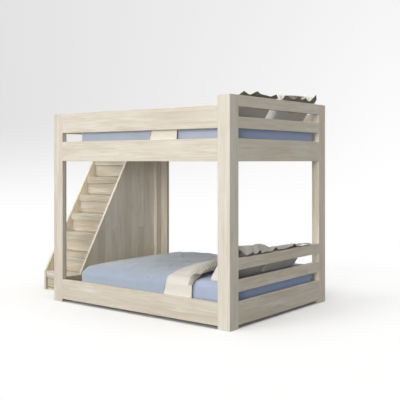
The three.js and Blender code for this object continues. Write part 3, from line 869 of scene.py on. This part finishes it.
def fit_lining(outer, lining, top, fold):
    """Keeps a point of the duvet's underside below its outside, and off the mattress near the fold."""
    lift = FOLD_LIFT * smooth(fold - FOLD_LIFT_LENGTH, fold - FOLD_INSET, lining.x)
    on_top = max(0, 1 - (top - lining.z) / MATTRESS_EDGE)
    if on_top < 1:
        reach = max(min(abs(lining.y) + lift * (1 - on_top), abs(outer.y) - SKIRT_THICKNESS), 0)
        lining.y = math.copysign(reach, lining.y)
    if on_top > 0:
        lining.z = min(lining.z + lift * on_top, outer.z - COVER_THICKNESS)


def add_duvet(level):
    node = level + "_duvet"
    low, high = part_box(node)
    bed_low, bed_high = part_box(level + "_mattress")
    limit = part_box(level + "_side_rail_far")[0].y - RAIL_CLEARANCE
    fold = FOLDS[level]
    end = fold - FOLD_INSET
    half, foot = bed_high.y + DUVET_SIDE, bed_low.x - DUVET_SIDE
    top = bed_high.z + FABRIC_GAP
    counts = (
        round(skirt_run(top, low.z, DUVET_SHOULDER) / DUVET_SPACING),
        round((end - foot - DUVET_SHOULDER) / DUVET_SPACING),
        round(2 * (half - DUVET_SHOULDER) / DUVET_SPACING),
    )

    def depth(x, y):
        return duvet_depth(x, y, foot, fold, half)

    outer, is_held = wrapped_points(foot, end, half, top, low.z, DUVET_SHOULDER, counts, depth)
    inner_foot, inner_half = bed_low.x - FABRIC_GAP, bed_high.y + FABRIC_GAP
    inner, _ = wrapped_points(inner_foot, end, inner_half, top, low.z, MATTRESS_EDGE, counts)
    across = counts[2] + 2 * counts[0] + 1
    cover = add_object(level + "_duvet_cover", mesh_from_grid(level + "_duvet_cover", outer, across))
    swell(cover, [index for index, held in enumerate(is_held) if held], *DUVET_SWELL)
    swollen = [vertex.co.copy() for vertex in cover.data.vertices]
    for point, lining in zip(swollen, inner):
        point.y = min(max(point.y, -limit), limit)
        point.z = max(point.z, low.z)
        fit_lining(point, lining, top, fold)
    cover.data = close_shell(level + "_duvet_cover", swollen, inner, across)
    cover.vertex_groups.clear()
    outward(cover)
    finish_piece(cover, CLOTHS[level]["duvet"])
    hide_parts(node)
    add_turn_back(level, fold, half, top, low.z, limit, depth)


def flap_loop(edge, nose_x, back, thick, under, lift, along):
    """One row of a turn-back as (x, height): over its top, round its nose, and back along its underside."""
    crest = lift(nose_x - NOSE_INSET) + thick
    radius = (crest - under) / 2
    centre = nose_x - radius
    loop = []
    for step in range(FLAP_STEPS + 1):
        x = edge + FLAP_LIP + (centre - edge - FLAP_LIP) * step / FLAP_STEPS
        spot = (x * TOP_FLUFF_SCALE, along * TOP_FLUFF_SCALE, TOP_FLUFF_LAYER)
        fluff = TOP_FLUFF * noise.noise(Vector(spot))
        ease = math.sin(min(step / FLAP_LIP_STEPS, 1) * math.pi / 2)
        blend = smooth(centre - NOSE_BLEND, centre, x)
        raised = (lift(x) + thick) * (1 - blend) * ease + crest * blend + fluff * ease
        loop.append((x, raised + lift(x) * (1 - ease)))
    for step in range(1, NOSE_STEPS + 1):
        bend = math.pi * step / NOSE_STEPS
        spot = (step * NOSE_FLUFF_SCALE[0], along * NOSE_FLUFF_SCALE[1], NOSE_FLUFF_LAYER)
        fluff = NOSE_FLUFF * noise.noise(Vector(spot))
        loop.append((centre + (radius + fluff) * math.sin(bend), under + radius * (1 + math.cos(bend))))
    loop.append((back, under + BACK_LIP))
    loop.append((back, max(lift(back), under + BACK_THICKNESS)))
    for step in range(1, LINING_STEPS + 1):
        x = back + (edge - back) * step / LINING_STEPS
        loop.append((x, lift(x)))
    return loop


def cap_ends(mesh, rows, across):
    """Closes the two ends of a tube made of so many rows."""
    caps = bmesh.new()
    caps.from_mesh(mesh)
    caps.verts.ensure_lookup_table()
    caps.faces.new([caps.verts[index] for index in range(across)])
    caps.faces.new([caps.verts[rows * across + index] for index in reversed(range(across))])
    caps.to_mesh(mesh)
    caps.free()


def add_turn_back(level, fold, half, top, hem, limit, depth):
    """The duvet's head end folded back over itself, fleece side up, in one closed hooked strip."""
    run = skirt_run(top, hem, DUVET_SHOULDER)
    flat = 2 * (half - DUVET_SHOULDER)
    skirt_thickness = min(limit - half - FLAP_RAIL_GAP, FLAP_THICKNESS)
    back = fold - FOLD_INSET + BACK_GAP
    points = []
    for row in range(FLAP_ROWS + 1):
        along = row / FLAP_ROWS * (2 * run + flat)
        side = -1 if along < run + flat / 2 else 1
        out = max(run - along, along - run - flat, 0)
        reach, down = profile(out, DUVET_SHOULDER)
        y0 = side * (half - DUVET_SHOULDER + reach) if out > 0 else along - run - flat / 2
        share = max(0, 1 - down / DUVET_SHOULDER)
        angle = min(out / DUVET_SHOULDER, math.pi / 2)
        normal = Vector((0, side * math.sin(angle), math.cos(angle)))
        base = Vector((0, y0, top - down))
        skew = SHOULDER_SKEW * smooth(0, SKEW_BEND, out) - SKIRT_SKEW * smooth(SKEW_BEND, run, out)
        wander = WANDER * noise.noise(Vector((along * WANDER_TURNS, *WANDER_LAYER)))
        edge = fold - FLAP_LENGTH + skew + wander
        nose_x = fold - NOSE_SLANT * smooth(NOSE_SLANT_START, run, out) + wander * NOSE_WANDER_SHARE
        thick = FLAP_THICKNESS * share + skirt_thickness * (1 - share)
        under = (FOLD_LIFT - FLAP_UNDER_DROP) * share - SKIRT_UNDER_DROP * (1 - share)

        def lift(x):
            return depth(x, y0) * share + FLAP_GAP

        loop = flap_loop(edge, nose_x, back, thick, under, lift, along)
        points += [base + normal * height + Vector((x, 0, 0)) for x, height in loop]
    name = level + "_turn_back"
    across = len(points) // (FLAP_ROWS + 1)
    strip = add_object(name, mesh_from_grid(name, points, across, close_across=True))
    cap_ends(strip.data, FLAP_ROWS, across)
    for vertex in strip.data.vertices:
        vertex.co.y = min(max(vertex.co.y, -limit), limit)
    outward(strip)
    finish_piece(strip, CLOTHS[level]["fleece"])


# Pillows: the body is made flat, swollen, and then leaned back; along is up its slope

def pillow_outline(along, across):
    """Half thickness of a pillow with flat square ends and a slight crown."""
    plump = (1 - abs(2 * along - 1) ** PILLOW_TOP_POWER) ** 0.5
    taper = (1 - abs(across) ** PILLOW_SIDE_POWER) ** 0.5
    crown = 1 - PILLOW_CROWN + PILLOW_CROWN * (1 - across ** 2) * (1 - (2 * along - 1) ** 2)
    return (PILLOW_SEAM + (PILLOW_THICKNESS - PILLOW_SEAM) * plump * taper * crown) / 2


def on_seam(row, column):
    return row in (0, PILLOW_ROWS) or column in (0, PILLOW_COLUMNS)


def pillow_point(face, row, column, half_width):
    """A point of the flat pillow: across its width, along its height, out of its face."""
    along = 0.5 - 0.5 * math.cos(math.pi * row / PILLOW_ROWS)
    across = math.sin(math.pi * (column / PILLOW_COLUMNS - 0.5))
    draw_along = SEAM_DRAW_ALONG * (1 - (2 * along - 1) ** 2) * across
    draw_across = SEAM_DRAW_ACROSS * (1 - across ** 2) * (2 * along - 1)
    thick = 0
    if not on_seam(row, column):
        thick = (pillow_outline(along, across) - SWELL_ALLOWANCE * PILLOW_SWELL) * FLAT_PILLOW_SHARE
    height = (along - 0.5) * PILLOW_HEIGHT
    return Vector((across * half_width - draw_along, height - draw_across, face * thick))


def pillow_body(half_width):
    """A closed pillow mesh, flat in its own frame, and the points of its seam."""
    grid = {}
    points, faces = [], []
    for face in (1, -1):
        for row in range(PILLOW_ROWS + 1):
            for column in range(PILLOW_COLUMNS + 1):
                key = (0 if on_seam(row, column) else face, row, column)
                if key not in grid:
                    grid[key] = len(points)
                    points.append(pillow_point(face, row, column, half_width))
    for face in (1, -1):
        for row in range(PILLOW_ROWS):
            for column in range(PILLOW_COLUMNS):
                corners = []
                for down, right in ((0, 0), (0, 1), (1, 1), (1, 0)):
                    r, c = row + down, column + right
                    corners.append(grid[(0 if on_seam(r, c) else face, r, c)])
                faces.append(corners if face > 0 else corners[::-1])
    mesh = bpy.data.meshes.new("pillow_shape")
    mesh.from_pydata([tuple(point) for point in points], [], faces)
    seam = [index for (face, _, _), index in grid.items() if face == 0]
    return mesh, seam


def make_pillow_shape():
    """(points, faces) of a swollen pillow as wide as its solid, for all four pillows."""
    low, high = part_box("lower_pillow_near")
    mesh, seam = pillow_body((high.y - low.y) / 2 - PILLOW_SIDE_GAP)
    shape = add_object("pillow_shape", mesh)
    swell(shape, seam, PILLOW_PRESSURE, PILLOW_SWELL, PILLOW_STIFFNESS)
    points = [vertex.co.copy() for vertex in shape.data.vertices]
    faces = [tuple(polygon.vertices) for polygon in shape.data.polygons]
    bpy.data.objects.remove(shape)
    return points, faces


def leaned(along, out, base_x, bottom):
    """A point of a leaning pillow, whose lowest part spreads flat on the mattress."""
    x = along * math.sin(PILLOW_LEAN) - out * math.cos(PILLOW_LEAN)
    z = along * math.cos(PILLOW_LEAN) + out * math.sin(PILLOW_LEAN) - PILLOW_SINK
    soft = PILLOW_FOOT_SOFTNESS
    if z < soft:
        z = soft * math.exp((z - soft) / soft) if z > -4 * soft else 0
    return Vector((base_x + x, 0, bottom + z))


def pillow_front():
    """How far a leaned pillow reaches towards the foot end from its base."""
    shares = [step / FRONT_STEPS for step in range(FRONT_STEPS + 1)]
    return min(leaned(share * PILLOW_HEIGHT, pillow_outline(share, FRONT_ACROSS), 0, 0).x for share in shares)


def along_table(table, y):
    """The value at y of a table of (y, value) pairs, with soft bends."""
    for (start, low), (end, high) in zip(table, table[1:]):
        if y <= end:
            share = min(max((y - start) / (end - start), 0), 1)
            return low + (high - low) * (0.5 * share + 0.5 * smooth(start, end, y))
    return table[-1][1]


# Height of each pillow's top seam along the bed's width: (y, z)
PILLOW_TOPS = {
    "lower_pillow_near": [(-0.630, 0.592), (-0.300, 0.588), (-0.140, 0.556), (-0.070, 0.545)],
    "lower_pillow_far": [(-0.063, 0.545), (0.200, 0.550), (0.400, 0.538), (0.495, 0.530)],
    "upper_pillow_near": [(-0.576, 1.812), (-0.300, 1.815), (-0.018, 1.812)],
    "upper_pillow_far": [(0.063, 1.855), (0.350, 1.868), (0.621, 1.872)],
}

# The lower ruffles flop over the head rail, and this is the height of their crest: (y, z)
RUFFLE_CRESTS = {
    "lower_pillow_near": [
        (-0.630, 0.622), (-0.567, 0.628), (-0.502, 0.624), (-0.374, 0.615), (-0.329, 0.621),
        (-0.262, 0.617), (-0.217, 0.607), (-0.136, 0.577), (-0.070, 0.574),
    ],
    "lower_pillow_far": [
        (-0.063, 0.568), (0.020, 0.575), (0.168, 0.572), (0.245, 0.567), (0.404, 0.558), (0.495, 0.552),
    ],
}

# Height of the hem of every ruffle: (y, z)
RUFFLE_HEMS = {
    "lower_pillow_near": [
        (-0.636, 0.611), (-0.527, 0.553), (-0.453, 0.570), (-0.397, 0.551), (-0.343, 0.579),
        (-0.309, 0.551), (-0.240, 0.556), (-0.171, 0.550), (-0.101, 0.582), (-0.070, 0.562),
    ],
    "lower_pillow_far": [
        (-0.063, 0.552), (0.040, 0.553), (0.131, 0.560), (0.193, 0.578),
        (0.260, 0.549), (0.326, 0.562), (0.447, 0.552), (0.495, 0.549),
    ],
    "upper_pillow_near": [
        (-0.593, 1.806), (-0.550, 1.836), (-0.466, 1.812), (-0.358, 1.847), (-0.301, 1.828),
        (-0.222, 1.823), (-0.165, 1.818), (-0.069, 1.844), (-0.040, 1.812),
    ],
    "upper_pillow_far": [
        (0.050, 1.812), (0.071, 1.846), (0.102, 1.842), (0.203, 1.818), (0.295, 1.856),
        (0.350, 1.828), (0.408, 1.846), (0.474, 1.816), (0.600, 1.889), (0.610, 1.850),
    ],
}


def along_path(path, share):
    """A point of a smooth curve through a list of (x, z)."""
    place = share * (len(path) - 1)
    index = min(int(place), len(path) - 2)
    part = place - index
    knots = [path[min(max(index + step, 0), len(path) - 1)] for step in (-1, 0, 1, 2)]
    point = []
    for before, start, end, after in zip(*knots):
        square = 2 * before - 5 * start + 4 * end - after
        cube = 3 * start - before - 3 * end + after
        point.append(0.5 * (2 * start + (end - before) * part + square * part ** 2 + cube * part ** 3))
    return point


def ruffle_path(node, y, seam):
    """The frill's cross-section at one place along the bed's width, from the seam to the hem: (x, z)."""
    hem = along_table(RUFFLE_HEMS[node], y)
    tuck = (seam.x - RUFFLE_TUCK_X, seam.z - RUFFLE_TUCK_Z)
    if node in RUFFLE_CRESTS:
        crest = along_table(RUFFLE_CRESTS[node], y)
        return [
            tuck,
            (0.6 * seam.x + 0.4 * LOWER_CREST_X, 0.45 * seam.z + 0.55 * crest),
            (LOWER_CREST_X, crest),
            (LOWER_BEND_X, 0.52 * crest + 0.48 * hem + LOWER_BEND_RISE),
            (LOWER_HEM_X, hem),
        ]
    return [
        tuck,
        (0.5 * seam.x + 0.5 * UPPER_CREST_X, 0.5 * seam.z + 0.5 * UPPER_CREST_Z - UPPER_BACK_FALL),
        (UPPER_CREST_X, UPPER_CREST_Z),
        (UPPER_BEND_X, 0.5 * (UPPER_CREST_Z + hem) + UPPER_BEND_RISE),
        (UPPER_HEM_X, hem),
    ]


def hem_slope(node, y):
    rise = along_table(RUFFLE_HEMS[node], y + SLOPE_STEP) - along_table(RUFFLE_HEMS[node], y - SLOPE_STEP)
    return rise / (2 * SLOPE_STEP)


def add_ruffle(node, seam_at, low_y, high_y):
    name = node + "_ruffle"
    points = []
    for column in range(RUFFLE_COLUMNS + 1):
        y = low_y + (high_y - low_y) * column / RUFFLE_COLUMNS
        path = ruffle_path(node, y, seam_at(y))
        slope = hem_slope(node, y)
        wander = noise.noise(Vector((y * GATHER_WANDER_TURNS, 1, 1)))
        gather = math.sin(y * GATHER_TURNS + GATHER_WANDER * wander)
        for row in range(RUFFLE_ROWS + 1):
            share = row / RUFFLE_ROWS
            x, z = along_path(path, share)
            flare = share ** FLARE_POWER
            pleat = PLEAT_HEIGHT * gather * math.sin(math.pi * min(share * PLEAT_REACH, 1))
            spot = (y * CRUMPLE_SCALE[0], share * CRUMPLE_SCALE[1], CRUMPLE_LAYER)
            crumple = CRUMPLE * noise.noise(Vector(spot)) * flare
            out = FLARE_OUT * math.tanh(slope * SLOPE_GAIN) * flare
            points.append(Vector((x + out + crumple, y - FLARE_ALONG * slope * flare, z + pleat)))
    obj = add_object(name, mesh_from_grid(name, points, RUFFLE_ROWS + 1))
    thickness = obj.modifiers.new("cloth thickness", "SOLIDIFY")
    thickness.thickness = RUFFLE_THICKNESS
    thickness.offset = 0
    level = level_of(node)
    finish_piece(obj, CLOTHS[level]["ruffle"], subdivide=1)


def add_pillow(node, shape):
    low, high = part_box(node)
    bottom = low.z + PILLOW_GAP
    base_x = low.x - pillow_front() - PILLOW_FORWARD
    points, faces = shape
    middle = (low.y + high.y) / 2
    mirror = -1 if node.endswith("far") else 1
    dent_shift = (DENT_SEEDS[level_of(node)], 0, mirror)

    def reach(y):
        height = along_table(PILLOW_TOPS[node], y) - bottom + PILLOW_SINK
        return height / math.cos(PILLOW_LEAN) / PILLOW_HEIGHT

    def seam_at(y):
        return leaned(PILLOW_HEIGHT * reach(y), 0, base_x, bottom)

    placed = []
    for point in points:
        dent = DENT_DEPTH * ripple(point, DENT_SCALE, dent_shift)
        out = point.z + dent * (1 if point.z > 0 else -1) * min(abs(point.z) / DENT_FADE, 1)
        y = middle + mirror * point.x
        spot = leaned((point.y + PILLOW_HEIGHT / 2) * reach(y), out, base_x, bottom)
        placed.append((spot.x, y, spot.z))
    mesh = bpy.data.meshes.new(node + "_case")
    mesh.from_pydata(placed, [], faces)
    case = add_object(node + "_case", mesh)
    outward(case)
    finish_piece(case, CLOTHS[level_of(node)]["pillow"], subdivide=1)
    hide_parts(node)
    add_ruffle(node, seam_at, low.y + PILLOW_SIDE_GAP, high.y - PILLOW_SIDE_GAP)


for level in LEVELS:
    add_mattress(level)
    add_duvet(level)
pillow_shape = make_pillow_shape()
for node in PILLOW_TOPS:
    add_pillow(node, pillow_shape)


# Studio

def add_camera():
    camera = bpy.data.objects.new("camera", bpy.data.cameras.new("camera"))
    camera.location = CAMERA_PLACE
    camera.rotation_euler = (math.pi / 2, 0, math.radians(CAMERA_AZIMUTH))
    camera.data.sensor_width = SENSOR_MM
    camera.data.lens = LENS_MM
    camera.data.shift_y = HORIZON_SHIFT
    camera.data.clip_end = CAMERA_REACH
    scene.collection.objects.link(camera)
    scene.camera = camera


def floor_finish():
    """White to the eye, grey to the light, and clear further out, where the backdrop shows."""
    nodes = Finish("studio_floor")
    direct = nodes.seen()
    bounce = (FLOOR_BOUNCE, FLOOR_BOUNCE, FLOOR_BOUNCE, 1)
    paint = nodes.add("ShaderNodeBsdfDiffuse", {"Color": nodes.mix(direct, bounce, (1, 1, 1, 1))})
    spot = nodes.split(nodes.place)
    past = [nodes.math("SUBTRACT", nodes.math("ABSOLUTE", spot[axis]), cad_box[1][axis]) for axis in (0, 1)]
    beyond = nodes.math("MAXIMUM", *past)
    fill = nodes.math("MULTIPLY", nodes.spread(beyond, *SHADOW_FILL_BAND, 0.0, SHADOW_FILL), direct)
    glow = nodes.add("ShaderNodeEmission", {"Color": (1, 1, 1, 1), "Strength": 1.0})
    paint = nodes.add("ShaderNodeMixShader", {0: fill, 1: paint.outputs[0], 2: glow.outputs[0]})
    away = nodes.vector_math("LENGTH", nodes.place)["Value"]
    gone = nodes.spread(away, FLOOR_CLEAR_RADIUS, FLOOR_FADE_RADIUS, interpolation_type="SMOOTHSTEP")
    gone = nodes.math("MULTIPLY", gone, direct)
    clear = nodes.add("ShaderNodeBsdfTransparent")
    blend = nodes.add("ShaderNodeMixShader", {0: gone, 1: paint.outputs[0], 2: clear.outputs[0]})
    nodes.feed(nodes.tree.nodes["Material Output"], {"Surface": blend.outputs[0]})
    return nodes.material


def add_floor():
    floor = add_object("floor", bpy.data.meshes.new("floor"))
    sheet = bmesh.new()
    bmesh.ops.create_grid(sheet, x_segments=1, y_segments=1, size=FLOOR_SIZE)
    sheet.to_mesh(floor.data)
    sheet.free()
    floor.data.materials.append(floor_finish())


def add_world():
    """The backdrop to the eye, and a weak even light on the bed."""
    world = bpy.data.worlds.new("studio")
    scene.world = world
    world.use_nodes = True
    world.node_tree.nodes.clear()
    nodes = Graph(world.node_tree)
    way = nodes.split(nodes.add("ShaderNodeTexCoord").outputs["Generated"])
    rise = nodes.spread(way["Z"], *HORIZON_BAND, interpolation_type="SMOOTHSTEP")
    gain = nodes.math("MULTIPLY_ADD", way["Z"], SIDE_GAIN_FALL, SIDE_GAIN)
    grey = nodes.math("MULTIPLY_ADD", nodes.spread(way["X"], *SIDE_BAND), gain, BACKDROP_GREY)
    tone = nodes.add("ShaderNodeMix", {0: rise, 2: 1.0, 3: grey}, data_type="FLOAT")
    backdrop = nodes.add("ShaderNodeBackground", {"Color": tone.outputs[0]})
    ambient = nodes.add("ShaderNodeBackground", {"Color": AMBIENT_COLOR, "Strength": AMBIENT_STRENGTH})
    layers = {0: nodes.seen(), 1: ambient.outputs[0], 2: backdrop.outputs[0]}
    choose = nodes.add("ShaderNodeMixShader", layers)
    nodes.add("ShaderNodeOutputWorld", {"Surface": choose.outputs[0]})


def add_lamp(name, towards, strength, width):
    lamp = bpy.data.objects.new(name, bpy.data.lights.new(name, "SUN"))
    lamp.data.energy = strength
    lamp.data.angle = math.radians(width)
    lamp.data.color = LAMP_COLOR
    lamp.rotation_euler = Vector(towards).to_track_quat("Z", "Y").to_euler()
    scene.collection.objects.link(lamp)


add_camera()
add_floor()
add_world()
for name, facts in LAMPS.items():
    add_lamp(name, *facts)

scene.view_settings.view_transform = "Standard"
